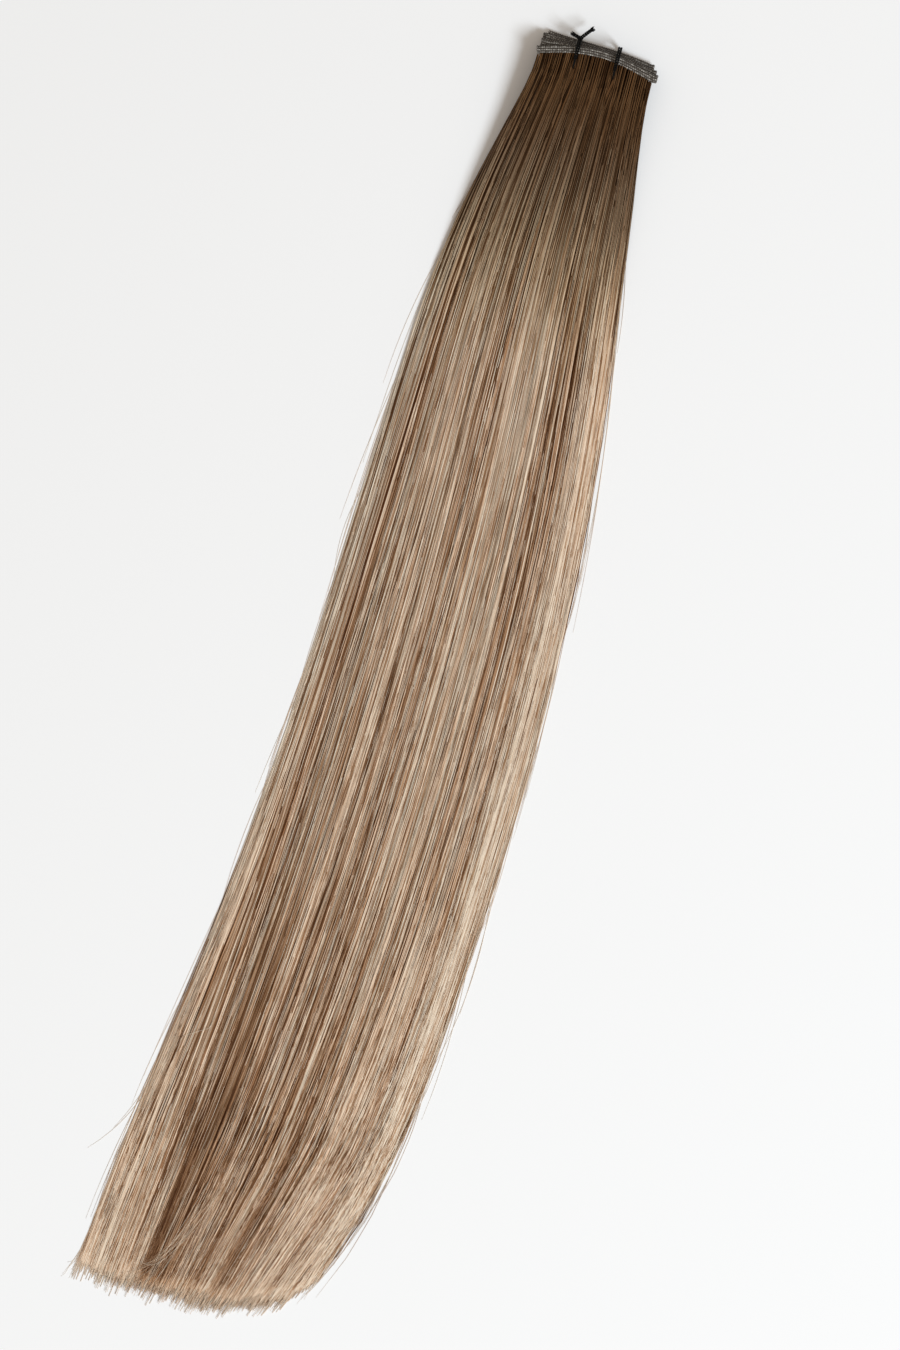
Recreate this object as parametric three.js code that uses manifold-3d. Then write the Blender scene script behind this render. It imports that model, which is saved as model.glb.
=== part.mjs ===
// Hair weft, folded up and laid flat on a table. Millimetres, +Z up.
//
// A narrow sewn band carries a curtain of long straight hair. The band is folded to and fro into six layers,
// so six curtains of hair lie on each other, and two thread ties pass through the hair just under the band
// and hold the folds together. The weft is laid out from the middle of the top band layer: x runs along the
// band, and "down" is the distance from there towards the tips, along -Y.

import * as THREE from "three";
import { mergeVertices } from "three/addons/utils/BufferGeometryUtils.js";
import Module from "manifold-3d";

const wasm = await Module();
wasm.setup();

// Driving dimensions
const HAIR_LENGTH = 610; // from the band to the longest tips: a 24 inch weft
const BAND_HALF = 27.5; // half the length of the folded band
const BAND_HEIGHT = 3.6; // the sewn strip, measured down the hair
const BAND_THICKNESS = 1.2;
const BAND_ARCH = 5.2; // how far the top layer's ends droop below its middle
const LAYER_PITCH = 1.75; // rise from one folded layer to the next
const ROOT_LIFT = 1.5; // the ties run under the band and hold it this far off the table
const GAP = 0.3; // between pieces that lie on each other, and
const THIN_GAP = 0.22; // at most this share of a layer where the pile is thin
const THREAD_WIDTH = 1.8; // a tie is a doubled thread, two strands side by side
const THREAD_HEIGHT = 1.0;

// The band's six layers, the lowest first, each a row. left and right are its ends, and the next layer folds
// back from the right end of an odd layer and the left end of an even one. The up columns are how far the
// layer lies above the top one at its left end, middle and right end. tuck draws the hair's edges in from the
// outline, leftTip draws in its left tips further, and shorter takes its tips back.
const LAYERS = [
  { left: -25.8, right: 26.4, upLeft: 10.0, upMiddle: 3.4, upRight: 5.7, tuck: 0.6, leftTip: 0, shorter: 4 },
  { left: -27.6, right: 26.4, upLeft: 8.0, upMiddle: 2.9, upRight: 5.1, tuck: 0.0, leftTip: 0, shorter: 0 },
  { left: -27.6, right: 27.9, upLeft: 6.6, upMiddle: 1.9, upRight: 2.9, tuck: 0.8, leftTip: 1, shorter: 1 },
  { left: -27.5, right: 27.9, upLeft: 4.6, upMiddle: 1.4, upRight: 2.2, tuck: 2.0, leftTip: 3, shorter: 2 },
  { left: -27.5, right: 28.8, upLeft: 3.2, upMiddle: 0.5, upRight: 0.6, tuck: 3.4, leftTip: 7, shorter: 1 },
  { left: -28.6, right: 28.8, upLeft: 0.0, upMiddle: 0.0, upRight: 0.0, tuck: 5.2, leftTip: 9, shorter: 3 },
];

// The outline of the hair from above and the height of the pile, at shares of the hair's length. left and
// right are the edges, height is the pile's at its middle, and edge is the share of it left at the sides.
const OUTLINE = [
  { at: 0.0, left: -28.4, right: 26.8, height: 10.5, edge: 1.0 },
  { at: 0.016, left: -29.0, right: 26.5, height: 10.5, edge: 1.0 },
  { at: 0.03, left: -30.0, right: 26.3, height: 10.6, edge: 0.92 },
  { at: 0.053, left: -32.4, right: 28.6, height: 10.9, edge: 0.76 },
  { at: 0.083, left: -37.0, right: 32.5, height: 11.4, edge: 0.62 },
  { at: 0.129, left: -44.6, right: 35.8, height: 11.9, edge: 0.5 },
  { at: 0.198, left: -50.5, right: 41.6, height: 12.0, edge: 0.44 },
  { at: 0.283, left: -53.2, right: 47.3, height: 11.7, edge: 0.42 },
  { at: 0.391, left: -55.2, right: 52.2, height: 11.0, edge: 0.42 },
  { at: 0.513, left: -59.4, right: 53.9, height: 10.0, edge: 0.45 },
  { at: 0.636, left: -64.4, right: 52.0, height: 9.0, edge: 0.48 },
  { at: 0.759, left: -74.0, right: 47.5, height: 8.0, edge: 0.52 },
  { at: 0.866, left: -83.2, right: 38.7, height: 6.9, edge: 0.58 },
  { at: 0.928, left: -88.3, right: 27.2, height: 6.0, edge: 0.64 },
  { at: 1.0, left: -91.5, right: 6.0, height: 4.8, edge: 0.7 },
];
const CROWN_POWER = 2.4; // how late the pile falls away towards its sides

// The sections along the hair, as shares of the way from root to tip, closer where it bends.
const STATIONS = [
  0, 0.012, 0.026, 0.042, 0.065, 0.1, 0.16, 0.24, 0.34, 0.46, 0.58, 0.7, 0.8, 0.88, 0.94, 0.975, 1,
];
const LOCKS = 10; // locks side by side in one curtain
const GROOVE = 0.36; // depth between two locks, as a share of the curtain's thickness
const GROOVE_FULL = 0.04; // the grooves deepen from the root to this share of the length
const NOTCH = 5; // how much shorter the hair is between two locks
const LOCK_VARIATION = 2; // how far the locks' tips lie before or behind the cut line
const ROOT_BLEND = [8, 28]; // down from the band, the curtain leaves the band's width for the outline's
const LIFT_ENDS = [14, 44]; // down from the band, the pile comes down to the table
const RIGHT_TIPS = 13; // how much shorter the hair is at its right edge

// The two ties: where each crosses the band, how far down it goes into the hair, and how far its upper bend
// stands off the folds. Only the left one shows its knot and cut ends.
const TIES = [
  { name: "tie_left", x: -10.2, into: 9.5, standOff: 0.0, knotted: true },
  { name: "tie_right", x: 8.9, into: 9.7, standOff: 0.7, knotted: false },
];
const PARTING_HALF = 1.4; // half the width of the parting that a tie makes in the hair
const PARTING_ABOVE = 3.2; // the parting runs this far up from the tie, and
const PARTING_BELOW = 8; // this far down
const KNOT_RADIUS = 1.3;
const THREAD_SIDES = 8;

const hairMaterial = new THREE.MeshStandardMaterial({ color: 0xa5866a, roughness: 0.45, metalness: 0 });
const bandMaterial = new THREE.MeshStandardMaterial({ color: 0x6f665f, roughness: 0.6, metalness: 0 });
const threadMaterial = new THREE.MeshStandardMaterial({ color: 0x14131a, roughness: 0.7, metalness: 0 });

const { lerp, smoothstep } = THREE.MathUtils;

// A column of OUTLINE at a distance down the hair, on a smooth curve through its rows.
function outline(column, down) {
  const at = THREE.MathUtils.clamp(down / HAIR_LENGTH, 0, 1);
  const next = Math.max(1, OUTLINE.findIndex((row) => row.at >= at));
  const slope = (row) => {
    const before = OUTLINE[Math.max(0, row - 1)];
    const after = OUTLINE[Math.min(OUTLINE.length - 1, row + 1)];
    return (after[column] - before[column]) / (after.at - before.at);
  };
  const [a, b] = [OUTLINE[next - 1], OUTLINE[next]];
  const step = b.at - a.at;
  const s = (at - a.at) / step;
  const rise = b[column] - a[column];
  const bendA = slope(next - 1) * step - rise;
  const bendB = rise - slope(next) * step;
  return a[column] + s * rise + s * (1 - s) * ((1 - s) * bendA + s * bendB);
}

// How far down a layer of the band lies at x, on the line along the middle of the strip.
function bandDown(layer, x) {
  const share = (x / BAND_HALF) ** 2;
  const atEnd = x < 0 ? layer.upLeft : layer.upRight;
  return BAND_ARCH * share - lerp(layer.upMiddle, atEnd, share);
}

const layerUnderside = (index) => ROOT_LIFT + index * LAYER_PITCH;

// A closed solid between an upper and a lower grid of points, [row down the hair][column along x].
function slab(upper, lower) {
  const rows = upper.length;
  const columns = upper[0].length;
  const at = (r, c) => r * columns + c;
  const under = (corner) => corner + rows * columns;
  const faces = [];
  for (let r = 0; r + 1 < rows; r++)
    for (let c = 0; c + 1 < columns; c++) {
      const [a, b, d, e] = [at(r, c), at(r, c + 1), at(r + 1, c), at(r + 1, c + 1)];
      const pair = c % 2 === 0 ? [a, d, b, b, d, e] : [a, d, e, a, e, b];
      faces.push(...pair, ...[...pair].reverse().map(under));
    }
  const rim = [];
  for (let c = 0; c < columns - 1; c++) rim.push(at(rows - 1, c));
  for (let r = rows - 1; r > 0; r--) rim.push(at(r, columns - 1));
  for (let c = columns - 1; c > 0; c--) rim.push(at(0, c));
  for (let r = 0; r < rows - 1; r++) rim.push(at(r, 0));
  rim.forEach((a, i) => {
    const b = rim[(i + 1) % rim.length];
    faces.push(a, under(a), b, b, under(a), under(b));
  });
  return new THREE.BufferGeometry().setFromPoints([...upper.flat(), ...lower.flat()]).setIndex(faces);
}

// A closed solid that carries a section, as [across, up] pairs, along frames of { at, across, up }.
function sweep(frames, section, isLoop) {
  const sides = section.length;
  const points = frames.flatMap(({ at, across, up }) =>
    section.map(([a, u]) => at.clone().addScaledVector(across, a).addScaledVector(up, u)),
  );
  const faces = [];
  const count = frames.length;
  for (let i = 0; i < (isLoop ? count : count - 1); i++)
    for (let k = 0; k < sides; k++) {
      const [here, beside] = [i * sides, ((i + 1) % count) * sides];
      const next = (k + 1) % sides;
      faces.push(here + k, here + next, beside + k, beside + k, here + next, beside + next);
    }
  if (!isLoop)
    for (let k = 1; k + 1 < sides; k++) {
      const last = (count - 1) * sides;
      faces.push(0, k + 1, k, last, last + k, last + k + 1);
    }
  return new THREE.BufferGeometry().setFromPoints(points).setIndex(faces);
}

// Frames along a line of points: across lies as near as it can to the direction given.
function framesAlong(points, acrossHint, isLoop) {
  const count = points.length;
  return points.map((at, i) => {
    const before = isLoop ? points[(i + count - 1) % count] : points[Math.max(0, i - 1)];
    const after = isLoop ? points[(i + 1) % count] : points[Math.min(count - 1, i + 1)];
    const along = after.clone().sub(before).normalize();
    const across = acrossHint.clone().addScaledVector(along, -acrossHint.dot(along)).normalize();
    return { at, across, up: across.clone().cross(along).negate() };
  });
}

function solidOf(geometry) {
  const plain = geometry.clone();
  for (const name of ["normal", "uv"]) plain.deleteAttribute(name);
  const merged = mergeVertices(plain);
  return new wasm.Manifold(
    new wasm.Mesh({
      numProp: 3,
      vertProperties: new Float32Array(merged.attributes.position.array),
      triVerts: new Uint32Array(merged.index.array),
    }),
  );
}

function geometryOf(solid) {
  const { vertProperties, triVerts } = solid.getMesh();
  return new THREE.BufferGeometry()
    .setAttribute("position", new THREE.BufferAttribute(vertProperties, 3))
    .setIndex(new THREE.BufferAttribute(triVerts, 1));
}

function piece(name, geometry, material) {
  geometry.computeVertexNormals();
  const mesh = new THREE.Mesh(geometry, material);
  mesh.name = name;
  return mesh;
}

// The band: one sewn strip, folded to and fro, with a round turn at each fold.
function weftBand() {
  const RUN_STEPS = 13;
  const TURN_STEPS = 5;
  const turnRadius = LAYER_PITCH / 2;
  const turnReach = turnRadius + BAND_THICKNESS / 2;
  const middle = (index) => layerUnderside(index) + BAND_THICKNESS / 2;
  const acrossStrip = (layer, x) => {
    const fall = bandDown(layer, x + 0.5) - bandDown(layer, x - 0.5);
    return new THREE.Vector3(fall, 1, 0).normalize();
  };
  const frames = [];
  LAYERS.forEach((layer, index) => {
    const isLast = index === LAYERS.length - 1;
    const side = index % 2 === 0 ? 1 : -1; // the layer runs towards this side
    const left = layer.left + (index === 0 || isLast ? 0 : turnReach);
    const right = layer.right - turnReach;
    const [start, finish] = side > 0 ? [left, right] : [right, left];
    for (let step = 0; step <= RUN_STEPS; step++) {
      const x = lerp(start, finish, step / RUN_STEPS);
      const at = new THREE.Vector3(x, -bandDown(layer, x), middle(index));
      frames.push({ at, across: acrossStrip(layer, x), up: new THREE.Vector3(0, 0, side) });
    }
    if (isLast) return;
    const next = LAYERS[index + 1];
    for (let step = 1; step < TURN_STEPS; step++) {
      const share = step / TURN_STEPS;
      const [sine, cosine] = [Math.sin(Math.PI * share), Math.cos(Math.PI * share)];
      const down = lerp(bandDown(layer, finish), bandDown(next, finish), share);
      const across = acrossStrip(layer, finish).lerp(acrossStrip(next, finish), share);
      const x = finish + side * turnRadius * sine;
      const at = new THREE.Vector3(x, -down, middle(index) + turnRadius * (1 - cosine));
      frames.push({ at, across, up: new THREE.Vector3(-sine, 0, side * cosine) });
    }
  });
  const [h, t] = [BAND_HEIGHT / 2, BAND_THICKNESS / 2];
  return sweep(frames, [[-h, -t], [h, -t], [h, t], [-h, t]], false);
}

// The table under the pile, the pile's height over it, and a curtain's two edges.
const pileUnderside = (down) => ROOT_LIFT * (1 - smoothstep(down, ...LIFT_ENDS));
function pileHeight(down, x) {
  const [left, right] = [outline("left", down), outline("right", down)];
  const aside = Math.min(1, Math.abs((2 * (x - left)) / (right - left) - 1));
  return outline("height", down) * (1 - (1 - outline("edge", down)) * aside ** CROWN_POWER);
}
function curtainEdges(layer, down) {
  const ROOT_TUCK = 0.9;
  const spread = smoothstep(down, ...ROOT_BLEND);
  const tuck = layer.tuck * smoothstep(down, ROOT_BLEND[0], HAIR_LENGTH / 5);
  const leftTip = layer.leftTip * smoothstep(down, HAIR_LENGTH / 2, HAIR_LENGTH);
  return [
    lerp(layer.left + ROOT_TUCK, outline("left", down) + tuck + leftTip, spread),
    lerp(layer.right - ROOT_TUCK, outline("right", down) - tuck, spread),
  ];
}

// One layer's curtain of hair: locks side by side, with grooves between them and notched tips.
function hairCurtain(layer, index) {
  const ROOT_DROP = BAND_HEIGHT / 2 + 1.5 * GAP;
  const columns = 2 * LOCKS;
  const upper = [];
  const lower = [];
  for (const station of STATIONS) {
    const [upperRow, lowerRow] = [[], []];
    for (let column = 0; column <= columns; column++) {
      const across = column / columns;
      const isGroove = column % 2 === 0;
      const variation = LOCK_VARIATION * Math.sin(2.4 * column + 1.7 * index); // no two locks alike
      const cutLine = HAIR_LENGTH - layer.shorter - RIGHT_TIPS * across ** 6;
      const root = bandDown(layer, lerp(layer.left, layer.right, across)) + ROOT_DROP;
      const down = lerp(root, cutLine + variation - (isGroove ? NOTCH : 0), station);
      const x = lerp(...curtainEdges(layer, down), across);
      const share = pileHeight(down, x) / LAYERS.length;
      const underside = pileUnderside(down) + index * share;
      const thickness = share - Math.min(GAP, THIN_GAP * share);
      const full = isGroove ? 1 - GROOVE * smoothstep(station, 0, GROOVE_FULL) : 1;
      upperRow.push(new THREE.Vector3(x, -down, underside + thickness * full));
      lowerRow.push(new THREE.Vector3(x, -down, underside));
    }
    upper.push(upperRow);
    lower.push(lowerRow);
  }
  return slab(upper, lower);
}

// The parting where a tie goes through the hair, as a long lens cut through the whole pile.
function parting(tie) {
  const [above, below] = [-tie.into + PARTING_ABOVE, -tie.into - PARTING_BELOW];
  const shape = new THREE.Shape()
    .moveTo(tie.x, above)
    .quadraticCurveTo(tie.x - 2 * PARTING_HALF, -tie.into, tie.x, below)
    .quadraticCurveTo(tie.x + 2 * PARTING_HALF, -tie.into, tie.x, above);
  const through = { depth: 2 * LAYERS.length * LAYER_PITCH, bevelEnabled: false, curveSegments: 4 };
  return new THREE.ExtrudeGeometry(shape, through).translate(0, 0, -1);
}

// A tie: a loop of doubled thread round the folded band, down through the hair and back under it.
function tie({ x, into, standOff, knotted }) {
  const LOOP_STEPS = 32;
  const clear = THREAD_HEIGHT / 2 + GAP;
  const lowestEdge = BAND_HEIGHT / 2 - bandDown(LAYERS[0], x);
  const topEdge = BAND_HEIGHT / 2 - bandDown(LAYERS[LAYERS.length - 1], x);
  const onTop = layerUnderside(LAYERS.length) + clear;
  const under = ROOT_LIFT - clear;
  const bend = 1.2; // radius of the thread's turns
  const slack = 0.4; // how far it bulges off the folds between its turns
  const loop = [
    [lowestEdge - bend, under],
    [lowestEdge + clear, under + bend / 2],
    [lowestEdge + clear + slack, layerUnderside(2)],
    [lerp(lowestEdge, topEdge, 0.5) + clear + 2 * slack + standOff, layerUnderside(4)],
    [topEdge + clear + standOff, onTop - bend / 2],
    [topEdge - bend, onTop],
    [-into + 2 * bend, onTop],
    [-into + bend / 2, onTop - bend / 4],
    [-into, onTop - bend],
    [-into, layerUnderside(2)],
    [-into, under + bend],
    [-into + bend / 2, under + bend / 4],
    [-into + 2 * bend, under],
  ].map(([y, z]) => new THREE.Vector3(x, y, z));
  const route = new THREE.CatmullRomCurve3(loop, true, "centripetal").getSpacedPoints(LOOP_STEPS).slice(1);
  const round = Array.from({ length: THREAD_SIDES }, (_, k) => {
    const angle = (2 * Math.PI * (k + 0.5)) / THREAD_SIDES;
    return [Math.cos(angle) / 2, Math.sin(angle) / 2];
  });
  const oval = round.map(([a, u]) => [a * THREAD_WIDTH, u * THREAD_HEIGHT]);
  const ring = sweep(framesAlong(route, new THREE.Vector3(1, 0, 0), true), oval, true);
  if (!knotted) return ring;

  const knotAt = loop[3].clone().add(new THREE.Vector3(-slack, slack, 0));
  const knot = new THREE.IcosahedronGeometry(KNOT_RADIUS, 1).translate(...knotAt);
  const ends = [
    { reach: [-3.2, 1.0, 0.5], bow: 0.6, flare: 1.5 },
    { reach: [4.2, 5.6, -1.6], bow: 1.4, flare: 2.6 },
  ].map(({ reach, bow, flare }) => {
    const tip = knotAt.clone().add(new THREE.Vector3(...reach));
    const hump = knotAt.clone().lerp(tip, 0.5).add(new THREE.Vector3(0, 0, bow));
    const line = new THREE.QuadraticBezierCurve3(knotAt, hump, tip).getSpacedPoints(6);
    const frames = framesAlong(line, new THREE.Vector3(0, 0, 1), false);
    frames.forEach(({ up, across }, i) => {
      const width = lerp(1, flare, smoothstep(i, 3, 6));
      up.multiplyScalar(width * THREAD_HEIGHT);
      across.multiplyScalar(Math.sqrt(width) * THREAD_HEIGHT);
    });
    return solidOf(sweep(frames, round, false));
  });
  return geometryOf(ends.reduce((whole, end) => whole.add(end), solidOf(ring).add(solidOf(knot))));
}

const laidOut = new THREE.Group();
laidOut.add(piece("weft_band", weftBand(), bandMaterial));
const partings = TIES.map((one) => solidOf(parting(one)));
LAYERS.forEach((layer, index) => {
  const curtain = partings.reduce((whole, cut) => whole.subtract(cut), solidOf(hairCurtain(layer, index)));
  laidOut.add(piece(`hair_layer_${index + 1}`, geometryOf(curtain), hairMaterial));
});
for (const one of TIES) laidOut.add(piece(one.name, tie(one), threadMaterial));

// The origin is the middle of the weft's underside on the table.
const box = new THREE.Box3().setFromObject(laidOut, true);
const centre = box.getCenter(new THREE.Vector3());
laidOut.position.set(-centre.x, -centre.y, -box.min.z);

const weft = new THREE.Group();
weft.add(laidOut);

export default weft;
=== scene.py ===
import math

import bpy
import numpy as np
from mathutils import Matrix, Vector
from mathutils.bvhtree import BVHTree


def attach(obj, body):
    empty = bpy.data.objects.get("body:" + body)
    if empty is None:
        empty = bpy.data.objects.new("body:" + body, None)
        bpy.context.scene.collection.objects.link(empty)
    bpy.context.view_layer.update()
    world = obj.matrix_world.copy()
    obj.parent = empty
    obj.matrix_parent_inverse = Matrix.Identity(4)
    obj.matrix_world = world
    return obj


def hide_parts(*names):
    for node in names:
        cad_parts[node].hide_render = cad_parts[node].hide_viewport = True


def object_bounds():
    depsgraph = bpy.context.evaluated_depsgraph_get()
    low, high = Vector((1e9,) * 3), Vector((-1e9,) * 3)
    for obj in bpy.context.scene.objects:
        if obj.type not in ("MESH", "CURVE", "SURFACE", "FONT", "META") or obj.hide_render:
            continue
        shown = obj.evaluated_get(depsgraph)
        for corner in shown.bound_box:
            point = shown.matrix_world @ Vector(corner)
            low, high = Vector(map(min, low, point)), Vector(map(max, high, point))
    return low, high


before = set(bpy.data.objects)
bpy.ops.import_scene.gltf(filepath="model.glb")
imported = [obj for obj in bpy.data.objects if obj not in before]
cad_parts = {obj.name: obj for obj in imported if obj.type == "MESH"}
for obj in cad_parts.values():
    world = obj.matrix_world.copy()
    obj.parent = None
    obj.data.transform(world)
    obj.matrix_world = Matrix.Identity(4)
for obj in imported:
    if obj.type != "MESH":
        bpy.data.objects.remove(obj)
cad_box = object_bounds()


# The sewn band is the machine-made strip that carries the hair. The roots lie side by side in small tufts,
# folded over at the top and sewn through in rows, and the strip is folded to and fro into six layers.
tuft_pitch = 0.00107
strip_half_height = 0.0018
steps_per_tuft = 6
rib_depth = 0.26
fold_inset = strip_half_height * 0.35
run_points, fold_points = 60, 11
# Half the strip's thickness at heights across it, from its lower to its upper edge. The sewing pinches it.
strip_section = [(-1.0, 0.16e-3), (-0.68, 0.30e-3), (-0.34, 0.46e-3), (0.0, 0.42e-3), (0.34, 0.47e-3),
                 (0.66, 0.32e-3), (0.9, 0.30e-3), (1.0, 0.14e-3)]


def node_points(name):
    """The corners of a CAD node, each one once, in metres."""
    return np.unique(np.round([vertex.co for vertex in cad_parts[name].data.vertices], 6), axis=0)


def spaced(points, step):
    """Points at an even step along a polyline."""
    lengths = np.r_[0, np.cumsum(np.linalg.norm(np.diff(points, axis=0), axis=1))]
    at = np.linspace(0, lengths[-1], int(round(lengths[-1] / step)) + 1)
    return np.stack([np.interp(at, lengths, points[:, axis]) for axis in range(3)], axis=1)


def unit(vectors):
    """The same vectors at length one."""
    return vectors / np.linalg.norm(vectors, axis=-1, keepdims=True)


# The runs are read from the CAD strip: each has many corners at its two levels, and follows a smooth line.
fewest_on_level = 20
level_room = 2e-5
strip_corners = node_points("weft_band")
levels, corners_at_level = np.unique(np.round(strip_corners[:, 2], 5), return_counts=True)
levels = levels[corners_at_level > fewest_on_level].reshape(-1, 2)
strip_route = []
for layer, (under, top) in enumerate(levels):
    on_run = np.min(np.abs(strip_corners[:, 2:] - [[under, top]]), axis=1) < level_room
    run_x, run_y = strip_corners[on_run, 0], strip_corners[on_run, 1]
    line = np.polynomial.Polynomial.fit(run_x, run_y, 4)
    x = np.linspace(run_x.min() + fold_inset, run_x.max() - fold_inset, run_points)
    if layer % 2:
        x = x[::-1]
    run = np.stack([x, line(x), np.full(run_points, (under + top) / 2)], axis=1)
    if layer:
        before = strip_route[-1][-1]
        turn = np.linspace(-np.pi / 2, np.pi / 2, fold_points)[1:-1, None]
        share = (np.sin(turn) + 1) / 2
        fold = before + (run[0] - before) * share
        bulge = (run[0, 2] - before[2]) / 2 + fold_inset
        fold[:, :1] += bulge * np.cos(turn) * (1 if layer % 2 else -1)
        strip_route.append(fold)
    strip_route.append(run)
strip_line = spaced(np.concatenate(strip_route), tuft_pitch / steps_per_tuft)
strip_along = unit(np.gradient(strip_line, axis=0))
strip_up = unit(np.array([0, 1, 0]) - strip_along[:, 1:2] * strip_along)
strip_face = np.cross(strip_along, strip_up)


def rgb(red, green, blue):
    """A colour given in picture values from 0 to 255."""
    part = np.array([red, green, blue]) / 255
    linear = np.where(part <= 0.04045, part / 12.92, ((part + 0.055) / 1.055) ** 2.4)
    return (*linear.tolist(), 1.0)


def add_node(tree, kind, sockets=None, **settings):
    """Adds one node with its options, and gives its inputs values or other nodes' outputs."""
    made = tree.nodes.new(kind)
    for option, value in settings.items():
        setattr(made, option, value)
    for key, value in (sockets or {}).items():
        if isinstance(value, bpy.types.NodeSocket):
            tree.links.new(value, made.inputs[key])
        else:
            made.inputs[key].default_value = value
    return made


def calc(tree, operation, *values):
    """The result of one sum on numbers or outputs."""
    return add_node(tree, "ShaderNodeMath", dict(enumerate(values)), operation=operation).outputs[0]


def between(tree, start, end, share):
    """A value that goes from start to end as share goes from 0 to 1."""
    return calc(tree, "MULTIPLY_ADD", calc(tree, "SUBTRACT", end, start), share, start)


def eased(tree, value, start, end):
    """A smooth step from 0 at start to 1 at end."""
    sockets = {"Value": value, "From Min": start, "From Max": end}
    return add_node(tree, "ShaderNodeMapRange", sockets, interpolation_type="SMOOTHSTEP").outputs[0]


def ramp(tree, value, stops):
    """A colour ramp with the given stops."""
    made = add_node(tree, "ShaderNodeValToRGB", {"Fac": value})
    elements = made.color_ramp.elements
    while len(elements) < len(stops):
        elements.new(1.0)
    for element, (place, colour) in zip(elements, stops):
        element.position = place
        element.color = colour
    return made.outputs["Color"]


def mixed(tree, share, first, second, way="MIX"):
    """Two colours mixed by a share."""
    made = add_node(tree, "ShaderNodeMix", {"Factor": share}, data_type="RGBA", blend_type=way)
    for key, colour in (("A_Color", first), ("B_Color", second)):
        socket = next(s for s in made.inputs if s.identifier == key)
        if isinstance(colour, bpy.types.NodeSocket):
            tree.links.new(colour, socket)
        else:
            socket.default_value = colour
    return next(s for s in made.outputs if s.identifier == "Result_Color")


def vector(tree, x, y=0.0, z=0.0):
    """A vector from three numbers or outputs."""
    return add_node(tree, "ShaderNodeCombineXYZ", {"X": x, "Y": y, "Z": z}).outputs[0]


def noise(tree, place, scale, detail):
    """Smooth noise from 0 to 1 at a place."""
    sockets = {"Vector": place, "Scale": scale, "Detail": detail}
    return add_node(tree, "ShaderNodeTexNoise", sockets).outputs["Fac"]


def new_material(name, **plain):
    """A material with a Principled shader, whose plain values are set on its own inputs."""
    material = bpy.data.materials.new(name)
    material.use_nodes = True
    tree = material.node_tree
    shader = next(n for n in tree.nodes if n.type == "BSDF_PRINCIPLED")
    for key, value in plain.items():
        shader.inputs[key.replace("_", " ")].default_value = value
    return material, tree, shader


def new_object(name, data):
    """An object with the given data, in the scene."""
    made = bpy.data.objects.new(name, data)
    bpy.context.scene.collection.objects.link(made)
    return made


def new_piece(name, points, faces, material, slot, replaced=()):
    """Makes a mesh object that rides on the part and stands for the named CAD nodes."""
    mesh = bpy.data.meshes.new(name)
    mesh.from_pydata(np.asarray(points).tolist(), [], [list(face) for face in faces])
    mesh.shade_smooth()
    mesh.materials.append(material)
    return settle(new_object(name, mesh), replaced)


def settle(piece, replaced=()):
    """Lets a finished piece ride on the part, and hides the CAD nodes that it stands for."""
    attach(piece, "root")
    if replaced:
        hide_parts(*replaced)
    return piece


def keep_vectors(mesh, name, values):
    """Stores one vector for each corner point of a mesh, for its material."""
    layer = mesh.attributes.new(name, "FLOAT_VECTOR", "POINT")
    layer.data.foreach_set("vector", np.asarray(values, dtype=np.float32).ravel())


heights, halves = np.array(strip_section).T
ring_height = np.r_[heights, heights[::-1]] * strip_half_height
ring_side = np.r_[halves, -halves[::-1]]
stations, ring = len(strip_line), len(ring_height)
rib = np.abs(np.sin(np.pi * np.arange(stations) / steps_per_tuft)) ** 0.7
rib = 1 - rib_depth + rib_depth * rib
strip_points = (strip_line[:, None] + strip_up[:, None] * ring_height[None, :, None]
                + strip_face[:, None] * (rib[:, None] * ring_side[None])[:, :, None])
number = np.arange(stations * ring).reshape(stations, ring)
ahead = np.roll(number, -1, axis=1)
strip_faces = np.stack([number[:-1], number[1:], ahead[1:], ahead[:-1]], axis=-1).reshape(-1, 4).tolist()
strip_faces += [number[0].tolist(), number[-1, ::-1].tolist()]

strip_finish, tree, shader = new_material("sewn_roots", Roughness=0.5, Specular_IOR_Level=0.4)
place = add_node(tree, "ShaderNodeAttribute", attribute_name="strip").outputs["Vector"]
place = add_node(tree, "ShaderNodeSeparateXYZ", {"Vector": place}).outputs
streak = noise(tree, vector(tree, calc(tree, "MULTIPLY", place["X"], 9.0), place["Y"]), 1.0, 3.0)
roots = ramp(tree, streak, [(0.3, rgb(22, 15, 10)), (0.5, rgb(46, 37, 30)), (0.7, rgb(84, 74, 65))])
edge = calc(tree, "MULTIPLY", eased(tree, calc(tree, "ABSOLUTE", place["Y"]), 0.62, 1.0), 0.35)
tree.links.new(mixed(tree, edge, roots, rgb(84, 77, 70)), shader.inputs["Base Color"])
rough = add_node(tree, "ShaderNodeBump", {"Height": streak, "Strength": 0.5, "Distance": 0.0002})
tree.links.new(rough.outputs[0], shader.inputs["Normal"])

strip = new_piece("sewn_strip", strip_points.reshape(-1, 3), strip_faces, strip_finish, "band",
                  ["weft_band"])
tufts = np.arange(stations) / steps_per_tuft
strip_place = np.stack([np.repeat(tufts, ring), np.tile(ring_height / strip_half_height, stations),
                        np.zeros(stations * ring)], axis=1)
keep_vectors(strip.data, "strip", strip_place)


# The sewing is fine grey nylon: three rows of chain stitch along each face of the strip, and loops that go
# over its upper edge. It holds the roots and stops them from sliding out.
chain_rows = (-0.7, -0.08, 0.54)
chain_lift = 0.00005
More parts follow.
